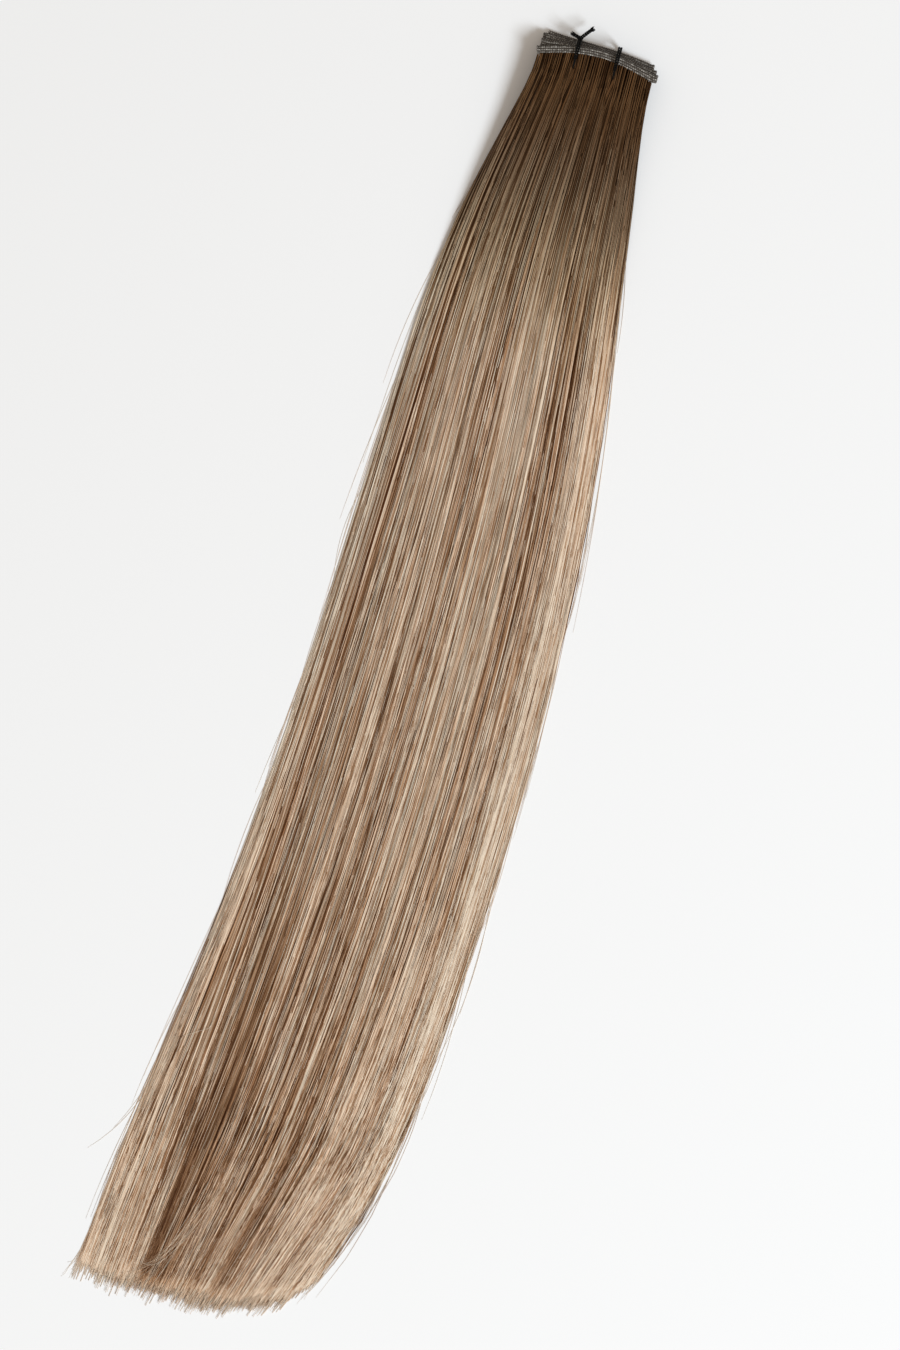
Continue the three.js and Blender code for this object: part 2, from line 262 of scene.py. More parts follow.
# Places on a stitch: along the row, across it and out from the strip. A chain stitch has two such legs.
leg_route = np.array([(-0.5, 0.17, -0.04), (-0.2, 0.2, 0.07), (0.2, 0.11, 0.1), (0.56, 0.0, 0.0)]) * 1e-3
leg_radius = np.array([0.07, 0.14, 0.14, 0.07]) * 1e-3
edge_loop_route = np.array([(-0.3, -1.0, 0.42), (-0.2, -0.35, 0.5), (-0.08, 0.1, 0.36), (0.0, 0.24, 0.0),
                            (0.08, 0.1, -0.36), (0.2, -0.35, -0.5), (0.3, -1.0, -0.42)]) * 1e-3
edge_loop_radius = 0.00009
# A row follows every third place of the strip's middle line.
row_step = 3


def headings(route, closed):
    """The direction of a route at each of its points."""
    if closed:
        return unit(np.roll(route, -1, axis=0) - np.roll(route, 1, axis=0))
    return unit(np.gradient(route, axis=0))


def tube(route, radius, sides, closed=False):
    """The points and faces of a thread along a route: capped at its ends, or joined up into a loop."""
    route = np.asarray(route, dtype=float)
    count = len(route)
    radius = np.broadcast_to(radius, count)
    heading = headings(route, closed)
    across = np.empty((count, 3))
    across[0] = unit(np.cross(heading[0], np.eye(3)[np.argmin(np.abs(heading[0]))]))
    for at in range(1, count):
        across[at] = unit(across[at - 1] - heading[at] * (across[at - 1] @ heading[at]))
    other = np.cross(heading, across)
    turn = np.linspace(0, 2 * np.pi, sides, endpoint=False)
    if closed:
        last = unit(across[-1] - heading[0] * (across[-1] @ heading[0]))
        twist = math.atan2(last @ other[0], last @ across[0])
        turn = turn[None] - twist * np.arange(count)[:, None] / count
    else:
        turn = np.broadcast_to(turn, (count, sides))
    points = route[:, None] + radius[:, None, None] * (np.cos(turn)[..., None] * across[:, None]
                                                       + np.sin(turn)[..., None] * other[:, None])
    at = np.arange(count * sides).reshape(count, sides)
    ends = np.roll(at, -1, axis=0) if closed else at[1:]
    starts = at if closed else at[:-1]
    faces = np.stack([starts, np.roll(starts, -1, axis=1), np.roll(ends, -1, axis=1), ends], axis=-1)
    faces = faces.reshape(-1, 4).tolist()
    if not closed:
        faces += [at[0, ::-1].tolist(), at[-1].tolist()]
    return points.reshape(-1, 3), faces


def joined(parts):
    """Several sets of points and faces as one."""
    points, faces, start = [], [], 0
    for part_points, part_faces in parts:
        points.append(part_points)
        faces += [[corner + start for corner in face] for face in part_faces]
        start += len(part_points)
    return np.concatenate(points), faces


def stitch_shape(name, parts):
    """One stitch as an object that a tree repeats."""
    points, faces = joined(parts)
    mesh = bpy.data.meshes.new(name)
    mesh.from_pydata(points.tolist(), [], faces)
    return bpy.data.objects.new(name, mesh)


def strip_spots(height, side, lift):
    """Places along the strip at a height across it, on one face or in the middle."""
    out = side * (np.interp(height, heights, halves) + lift)
    return strip_line + strip_up * (height * strip_half_height) + strip_face * out


def new_tree(name, inputs):
    """A geometry tree with named inputs, besides the geometry that it works on."""
    tree = bpy.data.node_groups.new(name, "GeometryNodeTree")
    tree.interface.new_socket("Geometry", in_out="INPUT", socket_type="NodeSocketGeometry")
    for label, kind in inputs.items():
        tree.interface.new_socket(label, in_out="INPUT", socket_type="NodeSocket" + kind)
    tree.interface.new_socket("Geometry", in_out="OUTPUT", socket_type="NodeSocketGeometry")
    return tree, add_node(tree, "NodeGroupInput").outputs


def close_tree(tree, geometry, material):
    """Ends a tree: real faces, smooth, with their material."""
    real = add_node(tree, "GeometryNodeRealizeInstances", {"Geometry": geometry}).outputs[0]
    smooth = add_node(tree, "GeometryNodeSetShadeSmooth", {"Geometry": real}).outputs[0]
    done = add_node(tree, "GeometryNodeSetMaterial", {"Geometry": smooth, "Material": material}).outputs[0]
    add_node(tree, "NodeGroupOutput", {"Geometry": done})


def grow(name, mesh, tree, values):
    """Runs a tree on a mesh and keeps what comes out as a plain mesh object."""
    piece = new_object(name, mesh)
    modifier = piece.modifiers.new(name, "NODES")
    modifier.node_group = tree
    for socket in tree.interface.items_tree:
        if socket.in_out == "INPUT" and socket.name in values:
            modifier[socket.identifier] = values[socket.name]
    graph = bpy.context.evaluated_depsgraph_get()
    result = bpy.data.meshes.new_from_object(piece.evaluated_get(graph), depsgraph=graph)
    piece.modifiers.clear()
    piece.data = result
    return piece


row_tree, given = new_tree("sewn_rows", {"Stitch": "Object", "Pitch": "Float", "Thread": "Material"})
tree = row_tree
rows = add_node(tree, "GeometryNodeMeshToCurve", {"Mesh": given["Geometry"]}).outputs[0]
rows = add_node(tree, "GeometryNodeResampleCurve", {"Curve": rows, "Length": given["Pitch"]},
                mode="LENGTH").outputs[0]
heading = add_node(tree, "GeometryNodeInputTangent").outputs[0]
facing = add_node(tree, "GeometryNodeInputNamedAttribute", {"Name": "facing"},
                  data_type="FLOAT_VECTOR").outputs[0]
turned = add_node(tree, "FunctionNodeAlignRotationToVector", {"Vector": heading}, axis="X").outputs[0]
turned = add_node(tree, "FunctionNodeAlignRotationToVector", {"Rotation": turned, "Vector": facing},
                  axis="Z", pivot_axis="X").outputs[0]
shape = add_node(tree, "GeometryNodeObjectInfo", {"Object": given["Stitch"]}).outputs["Geometry"]
sewn = add_node(tree, "GeometryNodeInstanceOnPoints",
                {"Points": rows, "Instance": shape, "Rotation": turned})
close_tree(tree, sewn.outputs[0], given["Thread"])


def nylon_finish(name, dark, middle, bright):
    """Sewing thread with painted glints: small spots of its fibres are paler, where they would catch the
    light.
    """
    material, tree, shader = new_material(name, Roughness=0.3, Specular_IOR_Level=0.6)
    place = add_node(tree, "ShaderNodeTexCoord").outputs["Object"]
    # Painted glints: the noise lifts small spots of the thread towards its palest colour.
    colour = ramp(tree, noise(tree, place, 900.0, 2.0), [(0.3, dark), (0.5, middle), (0.7, bright)])
    tree.links.new(colour, shader.inputs["Base Color"])
    return material


grey_nylon = nylon_finish("grey_nylon", rgb(84, 78, 72), rgb(140, 134, 128), rgb(214, 210, 204))
# The same nylon painted darker, as painted shade, for the loops that lie in the gaps between the folded
# layers.
nylon_painted_shade = nylon_finish("nylon_painted_shade", rgb(34, 29, 24), rgb(84, 78, 72), rgb(176, 171, 164))


def sew(name, lines, facings, stitch, thread):
    """Sews a row of one stitch along each line."""
    count = len(lines[0])
    mesh = bpy.data.meshes.new(name)
    edges = [(row * count + at, row * count + at + 1)
             for row in range(len(lines)) for at in range(count - 1)]
    mesh.from_pydata(np.concatenate(lines).tolist(), edges, [])
    keep_vectors(mesh, "facing", np.concatenate(facings))
    piece = grow(name, mesh, row_tree, {"Stitch": stitch, "Pitch": tuft_pitch, "Thread": thread})
    return settle(piece)


legs = [tube(leg_route * [1, side, 1], leg_radius, 4) for side in (1, -1)]
chain = stitch_shape("chain_stitch", legs)
row_sides = [(height, side) for height in chain_rows for side in (1, -1)]
sew("chain_rows", [strip_spots(height, side, chain_lift)[::row_step] for height, side in row_sides],
    [strip_face[::row_step] * side for height, side in row_sides], chain, grey_nylon)
edge_loop = stitch_shape("edge_loop", [tube(edge_loop_route, edge_loop_radius, 4)])
# The loops over the upper edge take the nylon painted darker: painted shade between the layers.
sew("edge_loops", [strip_spots(1.0, 0, 0)[::row_step]], [strip_face[::row_step]], edge_loop, nylon_painted_shade)


# Each curtain is the hair of one layer of the band: over a thousand strands of straight hair, dark ash brown
# at the root and beige blonde in streaks below. They leave the sewing in tufts and gather into locks.
curtains = [("hair_layer_1", 1300), ("hair_layer_2", 1100), ("hair_layer_3", 1100), ("hair_layer_4", 1100),
            ("hair_layer_5", 1500), ("hair_layer_6", 1700)]
points_per_strand = 20
root_reach = 0.0016
tip_reach = 0.011
sheet_columns, sheet_rows = 49, 41
sheet_margin = 0.012
# A CAD curtain's two edges are read at cuts across it, clear of its notched tips and its rounded root. They
# are smoothed over several cuts, and the last stretch before the tips is made straighter.
tip_clearance, root_clearance = 0.016, 0.011
edge_cuts, smoothed_cuts, slope_cuts = 120, 19, 12
straight_ends, straightening = 0.075, 0.2
edge_inset = 0.008
deepest_notch, notch_step = 0.08, 0.001
solid_by_tip, solid_by_root, above_solid = 0.012, 0.0008, 0.01
# The pile sinks by this share towards its two edges, once it is clear of the band, and towards its tips.
edge_drop = 0.7
edge_slope, tip_slope = 0.1, 0.15
held_by_band, let_loose = 0.06, 0.25


def solid_of(name):
    """The corners of a CAD node, and its faces to cast rays at."""
    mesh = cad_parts[name].data
    corners = np.array([vertex.co for vertex in mesh.vertices])
    return corners, BVHTree.FromPolygons(corners.tolist(), [face.vertices[:] for face in mesh.polygons])


def curtain_sheet(name):
    """The middle surface of a CAD curtain as a grid of rows by columns, and half its thickness there."""
    corners, solid = solid_of(name)
    sides = corners[[edge.vertices[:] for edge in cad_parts[name].data.edges]]
    low, high = corners.min(axis=0), corners.max(axis=0)
    near_root = corners[corners[:, 1] > high[1] - 0.0005]
    root_height = (near_root[:, 2].min() + near_root[:, 2].max()) / 2

    root_cut = high[1] - root_clearance
    cuts = np.linspace(low[1] + tip_clearance, root_cut, edge_cuts)
    edges = []
    for cut in cuts:
        first, second = sides[:, 0], sides[:, 1]
        crossing = (first[:, 1] - cut) * (second[:, 1] - cut) < 0
        first, second = first[crossing], second[crossing]
        share = (cut - first[:, 1]) / (second[:, 1] - first[:, 1])
        x = first[:, 0] + (second[:, 0] - first[:, 0]) * share
        edges.append((x.min(), x.max()))
    softer = np.hanning(smoothed_cuts) / np.hanning(smoothed_cuts).sum()
    spare = smoothed_cuts // 2
    edges = np.pad(edges, ((spare, spare), (0, 0)), mode="reflect", reflect_type="odd")
    edges = np.stack([np.convolve(edges[:, side], softer, mode="valid") for side in (0, 1)], axis=1)

    low_part = cuts < cuts[0] + straight_ends
    for side in (0, 1):
        slope, start = np.polyfit(cuts[~low_part][:slope_cuts], edges[~low_part][:slope_cuts, side], 1)
        edges[low_part, side] += straightening * (start + slope * cuts[low_part] - edges[low_part, side])

    def edge_at(y, side):
        """Where one edge is at a place along the hair, carried on straight past the tips."""
        slope = (edges[1, side] - edges[0, side]) / (cuts[1] - cuts[0])
        return np.interp(y, cuts, edges[:, side]) + np.minimum(y - cuts[0], 0) * slope

    def x_at(y, share):
        """A place between the two edges, by its share of the way across."""
        return edge_at(y, 0) * (1 - share) + edge_at(y, 1) * share

    def faces_at(x, y):
        """The heights of the upper and the lower face at a place."""
        above = solid.ray_cast(Vector((x, y, 1)), Vector((0, 0, -1)))[0]
        below = solid.ray_cast(Vector((x, y, -1)), Vector((0, 0, 1)))[0]
        return (above.z, below.z) if above and below else (np.nan, np.nan)

    def filled(values):
        """The same row of values with its gaps closed."""
        known = ~np.isnan(values)
        return np.interp(np.arange(len(values)), np.flatnonzero(known), values[known])

    across = np.linspace(-sheet_margin, 1 + sheet_margin, sheet_columns)
    inside = np.clip(across, edge_inset, 1 - edge_inset)
    root, tip = np.empty(sheet_columns), np.empty(sheet_columns)
    for column, share in enumerate(inside):
        above_root = Vector((x_at(root_cut, share), high[1] + above_solid, root_height))
        hit = solid.ray_cast(above_root, Vector((0, -1, 0)))[0]
        root[column] = hit.y if hit else np.nan
        for y in np.arange(low[1] + notch_step / 2, low[1] + deepest_notch, notch_step):
            if not np.isnan(faces_at(x_at(y, share), y)[0]):
                break
        tip[column] = y
    root = filled(root)
    tip = np.array([tip[max(0, column - 1):column + 2].min() for column in range(sheet_columns)])
    tip = np.convolve(np.pad(tip, 2, mode="edge"), np.ones(5) / 5, mode="valid") - tip_reach

    along = np.linspace(0, 1, sheet_rows) ** 1.5
    middle, half = np.empty((sheet_rows, sheet_columns, 3)), np.empty((sheet_rows, sheet_columns))
    for row, share in enumerate(along):
        y = root + (tip - root) * share
        left, right = edge_at(y, 0), edge_at(y, 1)
        solid_x = left + (right - left) * inside
        solid_y = np.minimum(np.maximum(y, low[1] + solid_by_tip), root - solid_by_root)
        read = np.array([faces_at(*spot) for spot in zip(solid_x, solid_y)])
        top, under = filled(read[:, 0]), filled(read[:, 1])
        middle[row] = np.stack([left + (right - left) * across, y, (top + under) / 2], axis=1)
        half[row] = (top - under) / 2
    to_edge = np.clip(np.minimum(inside, 1 - inside) / edge_slope, 0, 1)
    loose = np.clip((along - held_by_band) / let_loose, 0, 1)
    lying = 1 - edge_drop * loose[:, None] * (1 - to_edge) ** 2
    lying *= 1 - edge_drop * np.clip((along - 1 + tip_slope) / tip_slope, 0, 1)[:, None]
    middle[:, :, 2] *= lying
    half *= lying
    middle[0, :, 1] += root_reach
    return across, along, middle, half


def grid_faces(rows, columns):
    """The faces of a grid of points."""
    at = np.arange(rows * columns).reshape(rows, columns)
    return np.stack([at[:-1, :-1], at[1:, :-1], at[1:, 1:], at[:-1, 1:]], axis=-1).reshape(-1, 4)


strand_tree, given = new_tree("hair_strands", {
    "Strands": "Int", "Points": "Int", "Width": "Float", "Tufts": "Float", "Wisps": "Float",
    "Wisp Gather": "Float", "Locks": "Float", "Lock Gather": "Float", "Wave": "Float", "Stray": "Float",
    "Uneven Ends": "Float", "Margin": "Float", "Lift": "Float", "Parting": "Float", "Left Tie": "Vector",
    "Right Tie": "Vector", "Seed": "Int", "Hair": "Material"})
tree = strand_tree
straight = add_node(tree, "GeometryNodeCurvePrimitiveLine", {"End": (0.0, 0.0, 1.0)}).outputs[0]
straight = add_node(tree, "GeometryNodeResampleCurve",
                    {"Curve": straight, "Count": given["Points"]}).outputs[0]
copies = add_node(tree, "GeometryNodeDuplicateElements", {"Geometry": straight, "Amount": given["Strands"]},
                  domain="SPLINE").outputs
strand = copies["Duplicate Index"]
point = add_node(tree, "GeometryNodeSplineParameter").outputs["Index"]
last = calc(tree, "SUBTRACT", given["Points"], 1.0)


def chance(key, turn):
    """A random share from 0 to 1 for each key."""
    seed = calc(tree, "ADD", given["Seed"], turn)
    return add_node(tree, "FunctionNodeRandomValue", {"ID": key, "Seed": seed},
                    data_type="FLOAT").outputs[1]


def drift(x, y, turn):
    """A smooth random value about zero over two coordinates."""
    seed = calc(tree, "ADD", calc(tree, "MULTIPLY", given["Seed"], 3.7), turn)
    return calc(tree, "SUBTRACT", noise(tree, vector(tree, x, y, seed), 1.0, 1.0), 0.5)


def group_of(count, blur, turn):
    """The group that a strand joins, out of count groups side by side, and where the group's middle is."""
    spread = calc(tree, "MULTIPLY", calc(tree, "SUBTRACT", chance(strand, turn), 0.5), blur)
    uneven = drift(calc(tree, "MULTIPLY", across, calc(tree, "MULTIPLY", count, 0.5)), 0.0, turn)
    group = calc(tree, "MULTIPLY_ADD", uneven, 2.0, calc(tree, "MULTIPLY_ADD", across, count, spread))
    group = calc(tree, "MAXIMUM", calc(tree, "FLOOR", group), 0.0)
    group = calc(tree, "MINIMUM", group, calc(tree, "SUBTRACT", count, 1.0))
    middle = calc(tree, "ADD", group, calc(tree, "MULTIPLY_ADD", chance(group, turn + 1), 0.7, 0.15))
    return group, calc(tree, "DIVIDE", middle, count)


# Each strand has its own place across the band, and its points stand closer together near the root.
across = calc(tree, "DIVIDE", calc(tree, "ADD", strand, chance(strand, 1)), given["Strands"])
inner = calc(tree, "MULTIPLY", calc(tree, "GREATER_THAN", point, 0.5),
             calc(tree, "LESS_THAN", point, calc(tree, "SUBTRACT", last, 0.5)))
uneven_step = calc(tree, "MULTIPLY", calc(tree, "SUBTRACT", chance(strand, 18), 0.5), 0.9)
step = calc(tree, "DIVIDE", calc(tree, "MULTIPLY_ADD", inner, uneven_step, point), last)
wisp, wisp_middle = group_of(given["Wisps"], 0.9, 3)
# Most ends are cut level, fewer and fewer reach further down, and the cut is ragged in small points.
longer = calc(tree, "LOGARITHM", calc(tree, "MAXIMUM", chance(strand, 15), 0.006), math.e)
short = calc(tree, "MULTIPLY_ADD", longer, 0.2, 1.0)
short = calc(tree, "MULTIPLY_ADD", calc(tree, "POWER", chance(strand, 2), 14.0), 4.0, short)
cut = noise(tree, vector(tree, calc(tree, "MULTIPLY", across, 45.0)), 1.0, 2.0)
short = calc(tree, "MULTIPLY_ADD", calc(tree, "SUBTRACT", cut, 0.5), 0.8, short)
short = calc(tree, "MAXIMUM", short, 0.0)
reach = calc(tree, "SUBTRACT", 1.0, calc(tree, "MULTIPLY", given["Uneven Ends"], short))
along = calc(tree, "MULTIPLY", calc(tree, "POWER", step, 1.65), reach)
# Strands draw together into wisps and locks, tighter in some stretches, and stand in tufts at the root.
lock, lock_middle = group_of(given["Locks"], 0.4, 5)
tuft_middle = group_of(given["Tufts"], 0.2, 7)[1]
close = drift(calc(tree, "MULTIPLY", wisp, 2.7), calc(tree, "MULTIPLY", along, 6.0), 5.0)
close = calc(tree, "MULTIPLY_ADD", close, 3.4, 0.4)
close = calc(tree, "MULTIPLY_ADD", eased(tree, along, 0.0, 0.5), 0.6, close)
flow = between(tree, across, wisp_middle, calc(tree, "MULTIPLY", given["Wisp Gather"], close))
together = drift(calc(tree, "MULTIPLY", lock, 3.3), calc(tree, "MULTIPLY", along, 4.0), 4.0)
together = calc(tree, "MULTIPLY_ADD", together, 3.0, 1.0)
together = calc(tree, "MULTIPLY", calc(tree, "MULTIPLY", given["Lock Gather"], together),
                calc(tree, "ADD", eased(tree, along, 0.03, 0.4), eased(tree, along, 0.88, 1.0)))
flow = between(tree, flow, lock_middle, together)
at_root = calc(tree, "SUBTRACT", 1.0, eased(tree, along, 0.004, 0.045))
flow = between(tree, flow, tuft_middle, calc(tree, "MULTIPLY", at_root, 0.75))
# Once clear of the band they run in slow waves. A few are wilder, and the cut ends spread.
wave = drift(calc(tree, "MULTIPLY", across, 8.0), calc(tree, "MULTIPLY", along, 2.2), 1.0)
wave = calc(tree, "MULTIPLY", wave, given["Wave"])
wild = calc(tree, "MULTIPLY_ADD", calc(tree, "GREATER_THAN", chance(strand, 14), 0.94), 1.6, 1.0)
stray = drift(calc(tree, "MULTIPLY", strand, 7.31), calc(tree, "MULTIPLY", along, 2.6), 2.0)
stray = calc(tree, "MULTIPLY", stray, calc(tree, "MULTIPLY", given["Stray"], wild))
splay = calc(tree, "SUBTRACT", chance(strand, 16), 0.5)
splay = calc(tree, "MULTIPLY", splay, eased(tree, along, 0.9, 1.03))
stray = calc(tree, "MULTIPLY_ADD", splay, given["Stray"], stray)
free = eased(tree, along, 0.01, 0.3)
flow = calc(tree, "MULTIPLY_ADD", calc(tree, "ADD", wave, stray), free, flow)
# A strand that would pass the edge of the curtain turns back into it.
margin = given["Margin"]
flow = calc(tree, "DIVIDE", calc(tree, "ADD", flow, margin), calc(tree, "MULTIPLY_ADD", margin, 2.0, 1.0))
flow = calc(tree, "MULTIPLY_ADD", calc(tree, "PINGPONG", flow, 1.0), 0.996, 0.002)
spot = vector(tree, flow, calc(tree, "MULTIPLY_ADD", along, 0.998, 0.001))


def on_sheet(value, kind):
    """A value of the curtain's sheet at the strand's place."""
    map_node = add_node(tree, "GeometryNodeInputNamedAttribute", {"Name": "flow"}, data_type="FLOAT_VECTOR")
    sockets = {"Mesh": given["Geometry"], "Value": value, "UV Map": map_node.outputs[0], "Sample UV": spot}
    return add_node(tree, "GeometryNodeSampleUVSurface", sockets, data_type=kind).outputs["Value"]


middle = on_sheet(add_node(tree, "GeometryNodeInputPosition").outputs[0], "FLOAT_VECTOR")
half_name = add_node(tree, "GeometryNodeInputNamedAttribute", {"Name": "half"}, data_type="FLOAT")
half = on_sheet(half_name.outputs[0], "FLOAT")
# The strands lie at all depths of the pile, and weave over and under each other.
depth = between(tree, chance(strand, 9), chance(wisp, 10), 0.4)
weave = drift(calc(tree, "MULTIPLY", strand, 3.17), calc(tree, "MULTIPLY", along, 2.2), 3.0)
depth = calc(tree, "MULTIPLY_ADD", weave, 0.4, calc(tree, "MULTIPLY_ADD", depth, 1.9, -0.95))
depth = calc(tree, "MULTIPLY_ADD", eased(tree, along, 0.0, 0.05), given["Lift"], depth)
# Where a tie goes down into the hair, it pushes the strands aside.
at = add_node(tree, "ShaderNodeSeparateXYZ", {"Vector": middle}).outputs
aside = 0.0
for tie in ("Left Tie", "Right Tie"):
    hole = add_node(tree, "ShaderNodeSeparateXYZ", {"Vector": given[tie]}).outputs
    off = calc(tree, "SUBTRACT", at["X"], hole["X"])
    below = calc(tree, "SUBTRACT", hole["Y"], at["Y"])
    open_here = calc(tree, "SUBTRACT", eased(tree, below, -0.005, 0.0), eased(tree, below, 0.003, 0.018))
    fading = calc(tree, "EXPONENT", calc(tree, "MULTIPLY", calc(tree, "ABSOLUTE", off), -600.0))
    push = calc(tree, "MULTIPLY", calc(tree, "SIGN", off), calc(tree, "MULTIPLY", open_here, fading))
    aside = calc(tree, "MULTIPLY_ADD", push, given["Parting"], aside)
lowest = calc(tree, "MULTIPLY_ADD", given["Width"], 0.65, calc(tree, "MULTIPLY", at["Z"], -1.0))
lift = vector(tree, aside, 0.0, calc(tree, "MAXIMUM", calc(tree, "MULTIPLY", depth, half), lowest))
laid = add_node(tree, "GeometryNodeSetPosition",
                {"Geometry": copies["Geometry"], "Position": middle, "Offset": lift}).outputs[0]
# The material reads a strand's place across, the share along it, and its lightness with painted shade.
tone_and_shade = calc(tree, "MULTIPLY_ADD", calc(tree, "SUBTRACT", chance(strand, 11), 0.5), 1.3, 0.5)
tone_and_shade = calc(tree, "MULTIPLY_ADD", calc(tree, "SUBTRACT", chance(wisp, 12), 0.5), 0.12, tone_and_shade)
# Strands low in the pile are painted darker and those on top paler: painted shade among the hairs.
tone_and_shade = calc(tree, "MULTIPLY_ADD", depth, 0.12, tone_and_shade)
sockets = {"Geometry": laid, "Name": "strand", "Value": vector(tree, across, along, tone_and_shade)}
laid = add_node(tree, "GeometryNodeStoreNamedAttribute", sockets, data_type="FLOAT_VECTOR",
                domain="POINT").outputs[0]
# Hairs differ in width, and thin out at the cut.
thin = calc(tree, "MULTIPLY_ADD", eased(tree, step, 0.94, 1.0), -0.4, 1.0)
thick = calc(tree, "MULTIPLY", thin, calc(tree, "MULTIPLY_ADD", chance(strand, 13), 0.6, 0.7))
radius = calc(tree, "MULTIPLY", thick, calc(tree, "MULTIPLY", given["Width"], 0.5))
section = add_node(tree, "GeometryNodeCurvePrimitiveCircle", {"Resolution": 3, "Radius": 1.0}).outputs[0]
tubes = add_node(tree, "GeometryNodeCurveToMesh",
                 {"Curve": laid, "Profile Curve": section, "Scale": radius, "Fill Caps": True}).outputs[0]
close_tree(tree, tubes, given["Hair"])

hair_finish, tree, shader = new_material("balayage_hair", Roughness=0.4, Specular_IOR_Level=0.18,
                                          Specular_Tint=rgb(200, 165, 130))
place = add_node(tree, "ShaderNodeAttribute", attribute_name="strand").outputs["Vector"]
place = add_node(tree, "ShaderNodeSeparateXYZ", {"Vector": place}).outputs
across, along, tone_and_shade = place["X"], place["Y"], place["Z"]
# Streaks that the colourist painted, and last two that are painted light at both edges, where light shines
# through the thin hair: the place across near the root and at the tips, half the width, and how much lighter
# the hair is there near the root and at the tips.
painted_streaks = [(0.0, 0.06, 0.14, -0.06, 0.3), (0.12, 0.25, 0.15, 0.12, -0.68),
                   (0.22, 0.43, 0.08, 0.1, 0.1), (0.4, 0.44, 0.1, 0.16, -0.4),
                   (0.6, 0.74, 0.18, 0.34, -0.06), (0.86, 0.64, 0.09, -0.3, -0.06),
                   (1.0, 1.0, 0.1, 0.3, 0.34), (0.0, 0.0, 0.04, 0.22, 0.22)]
late = calc(tree, "POWER", along, 3.0)
light = tone_and_shade
for near_root, at_tips, half_width, root_light, tip_light in painted_streaks:
    off = calc(tree, "ABSOLUTE", calc(tree, "SUBTRACT", across, between(tree, near_root, at_tips, along)))
    inside = calc(tree, "SUBTRACT", 1.0, eased(tree, off, half_width * 0.2, half_width))
    change = between(tree, root_light, tip_light, late)
    change = calc(tree, "MULTIPLY", change, eased(tree, along, 0.09, 0.24))
    light = calc(tree, "MULTIPLY_ADD", inside, change, light)
# The colour also differs in fine streaks and from lock to lock in the lower half, and each hair is lighter
# and darker in stretches: partly its own colour, partly painted glints and shade where hairs cross.
fine_at = vector(tree, calc(tree, "MULTIPLY", across, 110.0), calc(tree, "MULTIPLY", along, 3.0))
fine = calc(tree, "SUBTRACT", noise(tree, fine_at, 1.0, 3.0), 0.5)
light = calc(tree, "MULTIPLY_ADD", fine, 0.55, light)
lock_at = vector(tree, calc(tree, "MULTIPLY", across, 24.0), calc(tree, "MULTIPLY", along, 2.0), 3.0)
lock = calc(tree, "SUBTRACT", noise(tree, lock_at, 1.0, 1.0), 0.5)
light = calc(tree, "MULTIPLY_ADD", lock, calc(tree, "MULTIPLY", eased(tree, along, 0.35, 0.8), 1.2), light)
# Glints: painted highlights and shade in stretches along each hair.
glint_at = vector(tree, calc(tree, "MULTIPLY", across, 2300.0), calc(tree, "MULTIPLY", along, 9.0))
glint = calc(tree, "SUBTRACT", noise(tree, glint_at, 1.0, 2.0), 0.5)
strength = calc(tree, "MULTIPLY_ADD", eased(tree, along, 0.2, 0.5), 0.7, 1.3)
light = calc(tree, "MULTIPLY_ADD", glint, strength, light)
# The last stretch before the cut is the palest: partly the hair's own colour, and partly painted light
# that lifts the shade among the thin ends.
light = between(tree, light, 1.0, calc(tree, "MULTIPLY", eased(tree, along, 0.972, 0.992), 0.85))
lengths = ramp(tree, light, [(0.0, rgb(83, 51, 30)), (0.3, rgb(139, 104, 75)), (0.6, rgb(185, 152, 122)),
                             (1.0, rgb(228, 216, 200))])
roots = ramp(tree, light, [(0.0, rgb(32, 18, 8)), (0.5, rgb(65, 45, 28)), (1.0, rgb(110, 82, 55))])
grown = calc(tree, "MULTIPLY_ADD", calc(tree, "SUBTRACT", light, 0.5), 0.06, along)
turned_light = eased(tree, grown, 0.052, 0.287)
hair_colour = mixed(tree, turned_light, roots, lengths)
# Where the dark root runs out, the brown is warmer.
still_dark = calc(tree, "SUBTRACT", 1.0, turned_light)
turning = calc(tree, "MULTIPLY", calc(tree, "MULTIPLY", turned_light, still_dark), 4.0)
warmer = mixed(tree, 1.0, hair_colour, (1.03, 0.985, 0.87, 1.0), "MULTIPLY")
hair_colour = mixed(tree, turning, hair_colour, warmer)
# Some of the hair is warmer and some more ash than the rest.
warm = noise(tree, vector(tree, calc(tree, "MULTIPLY", across, 47.0), along, 5.0), 1.0, 4.0)
warmer = mixed(tree, 1.0, hair_colour, (1.06, 0.95, 0.88, 1.0), "MULTIPLY")
hair_colour = mixed(tree, eased(tree, warm, 0.38, 0.62), hair_colour, warmer)
tree.links.new(hair_colour, shader.inputs["Base Color"])


